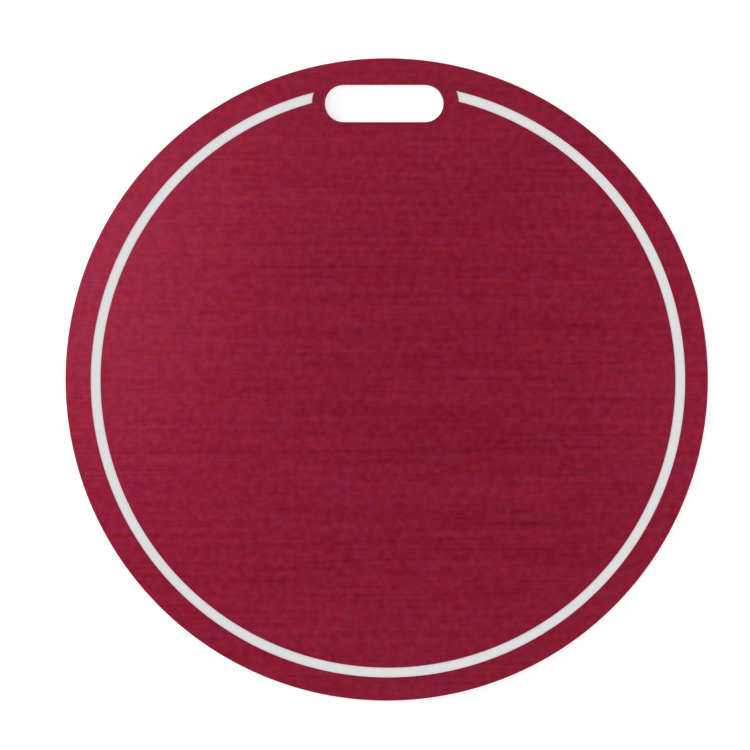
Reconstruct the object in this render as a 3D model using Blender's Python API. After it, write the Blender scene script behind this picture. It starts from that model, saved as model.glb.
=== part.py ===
"""Round bag tag for a lawn bowls bag, laser cut from a three-ply engraving laminate.

A white core plate carries a thin crimson cap on each face. A slot with round ends near the rim takes the strap. On the
front, a ring line is engraved through the cap into the core. It stops short of the slot, where a land of uncut cap
joins the rim band to the middle.

Frame: the tag lies on its back. The origin is the disc's centre on the back face, +Z leaves the front face and +Y
points to the slot. Units are metres.
"""

import math

import bmesh
import bpy

# The sheet
DISC_RADIUS = 0.045
SHEET_THICKNESS = 0.003  # over both caps
CAP_THICKNESS = 0.0001
BOND_GAP = 0.0003  # clearance between neighbouring plies
CORE_THICKNESS = SHEET_THICKNESS - 2 * (CAP_THICKNESS + BOND_GAP)

# The strap slot
SLOT_LENGTH = 0.0166  # over its round ends
SLOT_WIDTH = 0.0052
SLOT_RIM = 0.00375  # material left between the slot and the rim
SLOT_X = -0.00035  # the slot's centre is cut a little left of the disc's
SLOT_Y = DISC_RADIUS - SLOT_RIM - SLOT_WIDTH / 2

# The engraved ring
RING_INSET = 0.00337  # rim band outside the ring
RING_WIDTH = 0.00136
RING_CENTRE = (0.00017, -0.00011)  # how far the ring is engraved off the disc's centre
RING_DEPTH_IN_CORE = 0.00003  # how deep the laser bites below the cap
LAND_WIDTH = 0.002  # cap left between the slot and the ring's ends
LAND_SHIFT = 0.00016  # how far the land's centre lies right of the slot's

# How finely round edges are divided
DISC_SIDES = 240
SLOT_END_SIDES = 24  # for each half circle
CUTTER_MARGIN = 0.001  # how far a cutter runs past what it cuts

MERGE_DISTANCE = 0.000001
SMOOTH_BELOW = math.radians(30)


def new_collection(name):
    collection = bpy.data.collections.new(name)
    bpy.context.scene.collection.children.link(collection)
    return collection


def circle(radius, centre=(0, 0)):
    """Points round a circle in the XY plane."""
    turns = [2 * math.pi * i / DISC_SIDES for i in range(DISC_SIDES)]
    return [(centre[0] + radius * math.cos(a), centre[1] + radius * math.sin(a)) for a in turns]


def stadium(length, width, centre):
    """Points round an outline with straight sides along X and half circles at both ends."""
    radius = width / 2
    reach = length / 2 - radius
    points = []
    for side, start in ((1, -math.pi / 2), (-1, math.pi / 2)):
        for i in range(SLOT_END_SIDES + 1):
            angle = start + math.pi * i / SLOT_END_SIDES
            x = centre[0] + side * reach + radius * math.cos(angle)
            points.append((x, centre[1] + radius * math.sin(angle)))
    return points


def plate(name, outlines, bottom, thickness, collection):
    """A flat plate as a closed mesh. The first outline is its edge and the others are holes through it."""
    curve = bpy.data.curves.new(name, "CURVE")
    curve.dimensions = "2D"
    curve.fill_mode = "BOTH"
    curve.extrude = thickness / 2
    curve.render_resolution_u = 0
    for outline in outlines:
        spline = curve.splines.new("POLY")
        spline.points.add(len(outline) - 1)
        for point, (x, y) in zip(spline.points, outline):
            point.co = (x, y, 0, 1)
        spline.use_cyclic_u = True

    outline_object = bpy.data.objects.new(name, curve)
    collection.objects.link(outline_object)
    evaluated = outline_object.evaluated_get(bpy.context.evaluated_depsgraph_get())
    mesh = bpy.data.meshes.new_from_object(evaluated)
    bpy.data.objects.remove(outline_object)
    bpy.data.curves.remove(curve)

    welded = bmesh.new()
    welded.from_mesh(mesh)
    bmesh.ops.remove_doubles(welded, verts=welded.verts, dist=MERGE_DISTANCE)
    bmesh.ops.recalc_face_normals(welded, faces=welded.faces)
    welded.to_mesh(mesh)
    welded.free()

    mesh.name = name
    mesh.shade_smooth()
    mesh.set_sharp_from_angle(angle=SMOOTH_BELOW)
    piece = bpy.data.objects.new(name, mesh)
    piece.location.z = bottom + thickness / 2
    collection.objects.link(piece)
    return piece


def cut(piece, cutter):
    """Cuts one plate out of another and hides the cutter."""
    modifier = piece.modifiers.new(f"cut by {cutter.name}", "BOOLEAN")
    modifier.operation = "DIFFERENCE"
    modifier.solver = "EXACT"
    modifier.object = cutter
    cutter.hide_render = True
    cutter.display_type = "WIRE"


def make_material(name, colour, roughness, metallic):
    material = bpy.data.materials.new(name)
    material.use_nodes = True
    shader = material.node_tree.nodes["Principled BSDF"]
    shader.inputs["Base Color"].default_value = (*colour, 1)
    shader.inputs["Roughness"].default_value = roughness
    shader.inputs["Metallic"].default_value = metallic
    return material


def make_ply(name, bottom, thickness, material, collection, frame):
    """One ply of the laminate: the disc with the strap slot through it."""
    slot = stadium(SLOT_LENGTH, SLOT_WIDTH, (SLOT_X, SLOT_Y))
    ply = plate(name, [circle(DISC_RADIUS), slot], bottom, thickness, collection)
    ply.data.materials.append(material)
    ply.parent = frame
    return ply


def make_ring_cutter(name, bottom, thickness, collection):
    """The band that the laser engraves, less the land around the slot."""
    outer = DISC_RADIUS - RING_INSET
    edges = [circle(outer, RING_CENTRE), circle(outer - RING_WIDTH, RING_CENTRE)]
    band = plate(name, edges, bottom, thickness, collection)

    length, width = SLOT_LENGTH + 2 * LAND_WIDTH, SLOT_WIDTH + 2 * LAND_WIDTH
    land = plate(
        f"{name}_land",
        [stadium(length, width, (SLOT_X + LAND_SHIFT, SLOT_Y))],
        bottom - CUTTER_MARGIN,
        thickness + 2 * CUTTER_MARGIN,
        collection,
    )
    cut(band, land)
    return band


def make_tag():
    tag = new_collection("lawn_bowls_bag_tag")
    cutters = new_collection("cutters")
    frame = bpy.data.objects.new("tag_frame", None)
    tag.objects.link(frame)

    white = make_material("white_core", (0.72, 0.73, 0.74), roughness=0.5, metallic=0.0)
    crimson = make_material("crimson_film", (0.238, 0.0116, 0.0331), roughness=0.38, metallic=0.6)

    core_bottom = CAP_THICKNESS + BOND_GAP
    front_bottom = core_bottom + CORE_THICKNESS + BOND_GAP
    engraved_to = core_bottom + CORE_THICKNESS - RING_DEPTH_IN_CORE

    make_ply("back_cap", 0, CAP_THICKNESS, crimson, tag, frame)
    core_plate = make_ply("core_plate", core_bottom, CORE_THICKNESS, white, tag, frame)
    front_cap = make_ply("front_cap", front_bottom, CAP_THICKNESS, crimson, tag, frame)

    height = SHEET_THICKNESS + CUTTER_MARGIN - engraved_to
    ring_cutter = make_ring_cutter("ring_cutter", engraved_to, height, cutters)
    cut(core_plate, ring_cutter)
    cut(front_cap, ring_cutter)


for leftover in list(bpy.data.objects):
    bpy.data.objects.remove(leftover)
make_tag()
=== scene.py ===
"""The looks of a round lawn bowls bag tag.

Crimson brushed film covers both faces of a white plastic core, and a ring is engraved through the front film.
"""

import math

import bmesh
import bpy
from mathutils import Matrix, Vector


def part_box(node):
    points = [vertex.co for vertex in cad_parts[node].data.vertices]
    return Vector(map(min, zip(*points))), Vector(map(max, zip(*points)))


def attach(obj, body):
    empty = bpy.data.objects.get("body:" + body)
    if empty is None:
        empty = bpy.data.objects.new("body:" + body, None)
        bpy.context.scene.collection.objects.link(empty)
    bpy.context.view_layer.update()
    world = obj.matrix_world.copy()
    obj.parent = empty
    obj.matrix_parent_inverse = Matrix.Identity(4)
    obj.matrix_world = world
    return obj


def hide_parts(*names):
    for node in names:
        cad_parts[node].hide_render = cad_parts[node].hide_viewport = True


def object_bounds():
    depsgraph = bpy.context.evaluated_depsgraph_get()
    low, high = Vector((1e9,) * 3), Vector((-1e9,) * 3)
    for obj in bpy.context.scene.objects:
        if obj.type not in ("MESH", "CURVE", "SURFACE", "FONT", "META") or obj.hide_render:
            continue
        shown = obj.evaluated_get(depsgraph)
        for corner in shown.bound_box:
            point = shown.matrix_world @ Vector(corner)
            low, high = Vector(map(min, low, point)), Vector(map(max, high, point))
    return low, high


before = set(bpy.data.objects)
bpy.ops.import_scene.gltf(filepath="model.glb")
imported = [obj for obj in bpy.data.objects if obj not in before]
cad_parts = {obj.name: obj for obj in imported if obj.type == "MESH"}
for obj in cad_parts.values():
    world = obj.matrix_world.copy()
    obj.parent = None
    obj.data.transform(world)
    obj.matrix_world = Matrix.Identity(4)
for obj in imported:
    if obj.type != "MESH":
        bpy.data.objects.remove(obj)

CAD_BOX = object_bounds()

# Sizes are in metres, except where a name says otherwise.
LIP = 0.00003  # width of the soft lip that the laser leaves on the film's cut edges
LIP_SEGMENTS = 3
WELD = 0.000001  # points of a copied solid closer than this are one
FLAT_WITHIN = math.radians(0.5)  # triangles this nearly in one plane become one face
LEVEL_NORMAL = 0.9  # a face is level if its normal rises or falls at least this steeply
DEAD_LEVEL_NORMAL = 0.9999  # the sheet's own faces, but not the lips

# The full height of each bump pattern
BRUSH_DEPTH = 0.00016
STRIATION_DEPTH = 0.00005
RASTER_DEPTH = 0.00002

# The view: straight down on the face, from far enough off that nothing looks foreshortened
VIEW_WIDTH = 0.10506  # what the frame takes in across the tag's face
VIEW_CENTRE = (-0.00164, 0.00062)
VIEW_DISTANCE = 2.5
SENSOR_MM = 36

FLOOR_SIZE = 12.0
FLOOR_GAP = 0.00002  # the floor lies a hair below the tag, so that their surfaces don't coincide

# The dome of the sky: a bright band half way up, and dim light at the horizon and overhead.
# A height is the sine of the elevation.
DIM_LIGHT = 0.35
BAND_LIGHT = 1.5
BAND_FROM = 0.15
BAND_PEAK = 0.6
BAND_TO = 0.9

# Four soft lamps hang low round the rim of the tag and shade its face from side to side.
LAMP_HEIGHT = 0.183
LAMPS = (  # name, place along X and Y, size along X and Y, colour, radiance
    ("left_lamp", (-0.053, 0.026), (0.03, 0.06), "#F0EEFF", 5.7),
    ("right_lamp", (0.075, 0.0), (0.03, 0.12), "#F6F5FF", 2.9),
    ("back_lamp", (0.0, 0.075), (0.12, 0.03), "#FFFFFF", 2.6),
    ("front_lamp", (0.0, -0.075), (0.12, 0.03), "#FFFFFF", 2.3),
)

# Sockets of the Mix node when it blends colours
MIX_SHARE = 0
MIX_FIRST = 6
MIX_SECOND = 7
MIX_RESULT = 2

MM_PER_M = 1000

# ---------------------------------------------------------------- colours and nodes


def from_hex(code):
    """An sRGB hex colour as linear red, green, blue and alpha."""
    parts = [int(code[i : i + 2], 16) / 255 for i in (1, 3, 5)]
    linear = [c / 12.92 if c <= 0.04045 else ((c + 0.055) / 1.055) ** 2.4 for c in parts]
    return (*linear, 1.0)


def features_mm(x, y, z):
    """The scale at which noise has features of about these sizes in millimetres."""
    return [MM_PER_M / size for size in (x, y, z)]


def node(tree, kind, inputs=None, **settings):
    """Adds a shader node. An input takes a value, an output, or a node, which means its first output."""
    made = tree.nodes.new(f"ShaderNode{kind}")
    for name, value in settings.items():
        setattr(made, name, value)
    for name, value in (inputs or {}).items():
        if isinstance(value, bpy.types.Node):
            value = value.outputs[0]
        if isinstance(value, bpy.types.NodeSocket):
            tree.links.new(value, made.inputs[name])
        else:
            made.inputs[name].default_value = value
    return made


def new_material(name):
    """A material with an empty node tree, and the piece's own coordinates in it."""
    material = bpy.data.materials.new(name)
    material.use_nodes = True
    tree = material.node_tree
    tree.nodes.clear()
    return material, tree, node(tree, "TexCoord").outputs["Object"]


# ---------------------------------------------------------------- materials


def brushed_crimson_film():
    """Metallised polyester film, tinted crimson and brushed along X, under a thin satin varnish.

    The eye gets fine lines, a soft grain, a slow drift between cool and warm crimson, a few darker scores, and a
    glow that spreads across the lines.
    """
    material, tree, place = new_material("brushed_crimson_film")

    # real brush lines are 0.05 mm wide; they are drawn in bundles so that they show
    along_lines = node(tree, "Mapping", {"Vector": place, "Scale": features_mm(30.0, 0.8, 10.0)})
    lines = node(tree, "TexNoise", {"Vector": along_lines, "Scale": 1.0, "Detail": 4.0, "Roughness": 0.65})
    along_grain = node(tree, "Mapping", {"Vector": place, "Scale": features_mm(1.0, 0.9, 10.0)})
    grain = node(tree, "TexNoise", {"Vector": along_grain, "Scale": 1.0, "Detail": 1.0})
    along_drift = node(tree, "Mapping", {"Vector": place, "Scale": features_mm(2.4, 1.4, 10.0)})
    drift = node(tree, "TexNoise", {"Vector": along_drift, "Scale": 1.0, "Detail": 1.0})
    along_scores = node(tree, "Mapping", {"Vector": place, "Scale": features_mm(16.0, 0.5, 10.0)})
    scores = node(tree, "TexNoise", {"Vector": along_scores, "Scale": 1.0, "Detail": 0.0})

    # how much of the bright crimson shows: the lines and the grain add up
    line_share = node(tree, "MapRange", {"Value": lines, "From Min": 0.28, "From Max": 0.72, "To Max": 0.4})
    grain_range = {"From Min": 0.25, "From Max": 0.75, "To Min": 0.02, "To Max": 0.54}
    grain_share = node(tree, "MapRange", {"Value": grain, **grain_range})
    shine = node(tree, "Math", {0: line_share, 1: grain_share}, operation="ADD")
    warmth = node(tree, "MapRange", {"Value": drift, "From Min": 0.3, "From Max": 0.7})
    score_range = {"From Min": 0.66, "From Max": 0.82, "To Max": 0.18}
    score_share = node(tree, "MapRange", {"Value": scores, **score_range})

    cool, warm = from_hex("#891E41"), from_hex("#931C31")
    bright = node(tree, "Mix", {MIX_SHARE: warmth, MIX_FIRST: cool, MIX_SECOND: warm}, data_type="RGBA")
    brushed = node(
        tree,
        "Mix",
        {MIX_SHARE: shine, MIX_FIRST: from_hex("#79051F"), MIX_SECOND: bright.outputs[MIX_RESULT]},
        data_type="RGBA",
    )
    scored = node(
        tree,
        "Mix",
        {MIX_SHARE: score_share, MIX_FIRST: brushed.outputs[MIX_RESULT], MIX_SECOND: from_hex("#520618")},
        data_type="RGBA",
    )

    satin_range = {"From Min": 0.28, "From Max": 0.72, "To Min": 0.34, "To Max": 0.42}
    satin = node(tree, "MapRange", {"Value": lines, **satin_range})
    relief = node(tree, "Bump", {"Height": lines, "Strength": 0.5, "Distance": BRUSH_DEPTH})
    across = node(tree, "CombineXYZ", {"Y": 1.0})
    film = node(
        tree,
        "BsdfPrincipled",
        {
            "Base Color": scored.outputs[MIX_RESULT],
            "Metallic": 1.0,
            "Roughness": satin,
            "Anisotropic": 0.6,
            "Tangent": across,
            "Normal": relief,
            "Specular Tint": from_hex("#FFA8B4"),
            "Coat Weight": 0.18,
            "Coat Roughness": 0.27,
        },
    )
    node(tree, "OutputMaterial", {"Surface": film})
    return material


def melted_film_edge():
    """The cut edge of the film: crimson plastic, matt and a little uneven where the laser melted it."""
    material, tree, place = new_material("melted_film_edge")
    along_melt = node(tree, "Mapping", {"Vector": place, "Scale": features_mm(0.4, 0.4, 4.0)})
    melt = node(tree, "TexNoise", {"Vector": along_melt, "Scale": 1.0, "Detail": 2.0})
    dark, light = from_hex("#7A1B33"), from_hex("#A02C47")
    crimson = node(tree, "Mix", {MIX_SHARE: melt, MIX_FIRST: dark, MIX_SECOND: light}, data_type="RGBA")
    edge = node(tree, "BsdfPrincipled", {"Base Color": crimson.outputs[MIX_RESULT], "Roughness": 0.5})
    node(tree, "OutputMaterial", {"Surface": edge})
    return material


def laser_cut_abs():
    """White ABS sheet cut by laser: a satin edge with fine upright striations and the faintest warm scorch."""
    material, tree, place = new_material("laser_cut_abs")

    # the beam's pulses are 0.05 mm apart; the striations are drawn coarser so that they show
    along_pulses = node(tree, "Mapping", {"Vector": place, "Scale": features_mm(0.5, 0.5, 30.0)})
    striations = node(tree, "TexNoise", {"Vector": along_pulses, "Scale": 1.0, "Detail": 2.0})
    along_scorch = node(tree, "Mapping", {"Vector": place, "Scale": features_mm(3.0, 3.0, 1.2)})
    scorch = node(tree, "TexNoise", {"Vector": along_scorch, "Scale": 1.0, "Detail": 2.0})

    ridges = node(tree, "MapRange", {"Value": striations, "From Min": 0.3, "From Max": 0.7})
    scorched = node(tree, "MapRange", {"Value": scorch, "From Min": 0.55, "From Max": 0.8, "To Max": 0.6})
    grey, pale = from_hex("#CFCFCE"), from_hex("#E0E0DF")
    white = node(tree, "Mix", {MIX_SHARE: ridges, MIX_FIRST: grey, MIX_SECOND: pale}, data_type="RGBA")
    warmed = node(
        tree,
        "Mix",
        {MIX_SHARE: scorched, MIX_FIRST: white.outputs[MIX_RESULT], MIX_SECOND: from_hex("#C9C2B6")},
        data_type="RGBA",
    )
    relief = node(tree, "Bump", {"Height": striations, "Strength": 0.6, "Distance": STRIATION_DEPTH})
    colour = warmed.outputs[MIX_RESULT]
    edge = node(tree, "BsdfPrincipled", {"Base Color": colour, "Roughness": 0.42, "Normal": relief})
    node(tree, "OutputMaterial", {"Surface": edge})
    return material


def laser_engraved_abs():
    """The same ABS where the laser has burnt the film away: matt, pale grey, in fine raster lines along X."""
    material, tree, place = new_material("laser_engraved_abs")

    # the raster is 0.1 mm on a real engraver; it is drawn at twice that so that it shows
    along_raster = node(tree, "Mapping", {"Vector": place, "Scale": features_mm(3.0, 0.2, 10.0)})
    raster = node(tree, "TexNoise", {"Vector": along_raster, "Scale": 1.0, "Detail": 1.0})
    low, high = from_hex("#C9C8C8"), from_hex("#CECDCD")
    grey = node(tree, "Mix", {MIX_SHARE: raster, MIX_FIRST: low, MIX_SECOND: high}, data_type="RGBA")
    relief = node(tree, "Bump", {"Height": raster, "Strength": 0.4, "Distance": RASTER_DEPTH})
    colour = grey.outputs[MIX_RESULT]
    floor = node(tree, "BsdfPrincipled", {"Base Color": colour, "Roughness": 0.75, "Normal": relief})
    node(tree, "OutputMaterial", {"Surface": floor})
    return material


def frosted_opal_acrylic():
    """Opal acrylic with a frosted top, lit faintly from below: even and matt, and shadows on it stay pale."""
    material, tree, place = new_material("frosted_opal_acrylic")
    along_frost = node(tree, "Mapping", {"Vector": place, "Scale": features_mm(0.8, 0.8, 0.8)})
    frost = node(tree, "TexNoise", {"Vector": along_frost, "Scale": 1.0, "Detail": 2.0})
    low, high = from_hex("#F7F7F6"), from_hex("#FAFAF9")
    opal = node(tree, "Mix", {MIX_SHARE: frost, MIX_FIRST: low, MIX_SECOND: high}, data_type="RGBA")
    top = node(
        tree,
        "BsdfPrincipled",
        {
            "Base Color": opal.outputs[MIX_RESULT],
            "Roughness": 0.9,
            "Emission Color": from_hex("#FFFFFF"),
            "Emission Strength": 0.18,
        },
    )
    node(tree, "OutputMaterial", {"Surface": top})
    return material


# ---------------------------------------------------------------- pieces


def copied_solid(name):
    """The CAD node's shape as a clean mesh: points merged, and triangles joined into flat faces."""
    mesh = bmesh.new()
    mesh.from_mesh(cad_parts[name].data)
    bmesh.ops.remove_doubles(mesh, verts=mesh.verts, dist=WELD)
    bmesh.ops.dissolve_limit(mesh, angle_limit=FLAT_WITHIN, verts=mesh.verts, edges=mesh.edges)
    return mesh


def is_level(face):
    return abs(face.normal.z) > LEVEL_NORMAL


def soften_lips(mesh):
    """Rounds each edge between a level face and a wall."""
    mesh.normal_update()
    lips = []
    for edge in mesh.edges:
        sides = {is_level(face) for face in edge.link_faces}
        if len(sides) == 2:
            lips.append(edge)
    bmesh.ops.bevel(
        mesh,
        geom=lips,
        offset=LIP,
        offset_type="OFFSET",
        segments=LIP_SEGMENTS,
        profile=0.5,
        affect="EDGES",
        clamp_overlap=True,
        material=-1,
    )
    mesh.normal_update()


def finish_piece(mesh, name, materials, pick_material):
    """Writes the mesh to a new object at the origin, with its level faces flat and its walls smooth."""
    for face in mesh.faces:
        face.material_index = pick_material(face)
        face.smooth = True
    for edge in mesh.edges:
        if any(abs(face.normal.z) > DEAD_LEVEL_NORMAL for face in edge.link_faces):
            edge.smooth = False

    data = bpy.data.meshes.new(name)
    mesh.to_mesh(data)
    mesh.free()
    for material in materials:
        data.materials.append(material)
    piece = bpy.data.objects.new(name, data)
    bpy.context.scene.collection.objects.link(piece)
    return piece


def make_film(node_name, name, film, film_edge):
    """One of the two caps: brushed on its level faces, melted plastic on its cut edges."""
    mesh = copied_solid(node_name)
    soften_lips(mesh)
    piece = finish_piece(mesh, name, [film, film_edge], lambda face: 0 if is_level(face) else 1)
    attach(piece, "root")
    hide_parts(node_name)


def make_core(cut_abs, engraved_abs):
    """The core sheet, grown by the clearance on each side so that the three plies meet."""
    mesh = copied_solid("core_plate")
    low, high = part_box("core_plate")
    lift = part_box("front_cap")[0].z - high.z
    drop = low.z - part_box("back_cap")[1].z
    middle = (low.z + high.z) / 2
    upper = [vertex for vertex in mesh.verts if vertex.co.z > middle]
    lower = [vertex for vertex in mesh.verts if vertex.co.z <= middle]
    bmesh.ops.translate(mesh, verts=upper, vec=Vector((0, 0, lift)))
    bmesh.ops.translate(mesh, verts=lower, vec=Vector((0, 0, -drop)))
    mesh.normal_update()

    materials = [cut_abs, engraved_abs]
    piece = finish_piece(mesh, "core_sheet", materials, lambda face: 1 if face.normal.z > LEVEL_NORMAL else 0)
    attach(piece, "root")
    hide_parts("core_plate")


def make_floor():
    mesh = bmesh.new()
    bmesh.ops.create_grid(mesh, x_segments=1, y_segments=1, size=FLOOR_SIZE / 2)
    bmesh.ops.translate(mesh, verts=mesh.verts, vec=(0, 0, CAD_BOX[0].z - FLOOR_GAP))
    data = bpy.data.meshes.new("floor")
    mesh.to_mesh(data)
    mesh.free()
    data.materials.append(frosted_opal_acrylic())
    floor = bpy.data.objects.new("floor", data)
    bpy.context.scene.collection.objects.link(floor)


# ---------------------------------------------------------------- light and camera


def light_the_dome():
    world = bpy.data.worlds.new("studio")
    world.use_nodes = True
    tree = world.node_tree
    tree.nodes.clear()
    direction = node(tree, "TexCoord").outputs["Generated"]
    height = node(tree, "SeparateXYZ", {"Vector": direction}).outputs["Z"]
    rise = {"From Min": BAND_FROM, "From Max": BAND_PEAK, "To Min": DIM_LIGHT, "To Max": BAND_LIGHT}
    fall = {"From Min": BAND_PEAK, "From Max": BAND_TO, "To Min": BAND_LIGHT, "To Max": DIM_LIGHT}
    rising = node(tree, "MapRange", {"Value": height, **rise})
    falling = node(tree, "MapRange", {"Value": height, **fall})
    strength = node(tree, "Math", {0: rising, 1: falling}, operation="MINIMUM")
    dome = node(tree, "Background", {"Color": from_hex("#FFFFFF"), "Strength": strength})
    node(tree, "OutputWorld", {"Surface": dome})
    bpy.context.scene.world = world


def hang_lamp(name, place, size, colour, radiance):
    """A rectangular soft light that faces down, as bright as radiance says. The camera doesn't see it."""
    light = bpy.data.lights.new(name, "AREA")
    light.shape = "RECTANGLE"
    light.size, light.size_y = size
    light.energy = radiance * math.pi * light.size * light.size_y
    light.color = from_hex(colour)[:3]
    lamp = bpy.data.objects.new(name, light)
    lamp.location = (*place, LAMP_HEIGHT)
    lamp.visible_camera = False
    bpy.context.scene.collection.objects.link(lamp)


def soft_sun(name, azimuth, elevation, brightness, spread):
    """Even light from one side, with its angles in degrees. Brightness is what it gives a white floor."""
    light = bpy.data.lights.new(name, "SUN")
    light.angle = math.radians(spread)
    light.energy = brightness * math.pi / math.sin(math.radians(elevation))
    lamp = bpy.data.objects.new(name, light)
    lamp.rotation_euler = (math.radians(90 - elevation), 0, math.radians(azimuth))
    bpy.context.scene.collection.objects.link(lamp)


def set_up_camera():
    data = bpy.data.cameras.new("camera")
    data.sensor_width = SENSOR_MM
    data.lens = SENSOR_MM * VIEW_DISTANCE / VIEW_WIDTH
    data.clip_end = 2 * VIEW_DISTANCE
    camera = bpy.data.objects.new("camera", data)
    camera.location = (*VIEW_CENTRE, CAD_BOX[1].z + VIEW_DISTANCE)
    bpy.context.scene.collection.objects.link(camera)
    bpy.context.scene.camera = camera


def main():
    bpy.context.scene.view_settings.view_transform = "Standard"
    film = brushed_crimson_film()
    film_edge = melted_film_edge()
    make_film("front_cap", "front_film", film, film_edge)
    make_film("back_cap", "back_film", film, film_edge)
    make_core(laser_cut_abs(), laser_engraved_abs())
    make_floor()
    light_the_dome()
    soft_sun("key", azimuth=250, elevation=45, brightness=0.15, spread=40)
    for lamp in LAMPS:
        hang_lamp(*lamp)
    set_up_camera()


main()
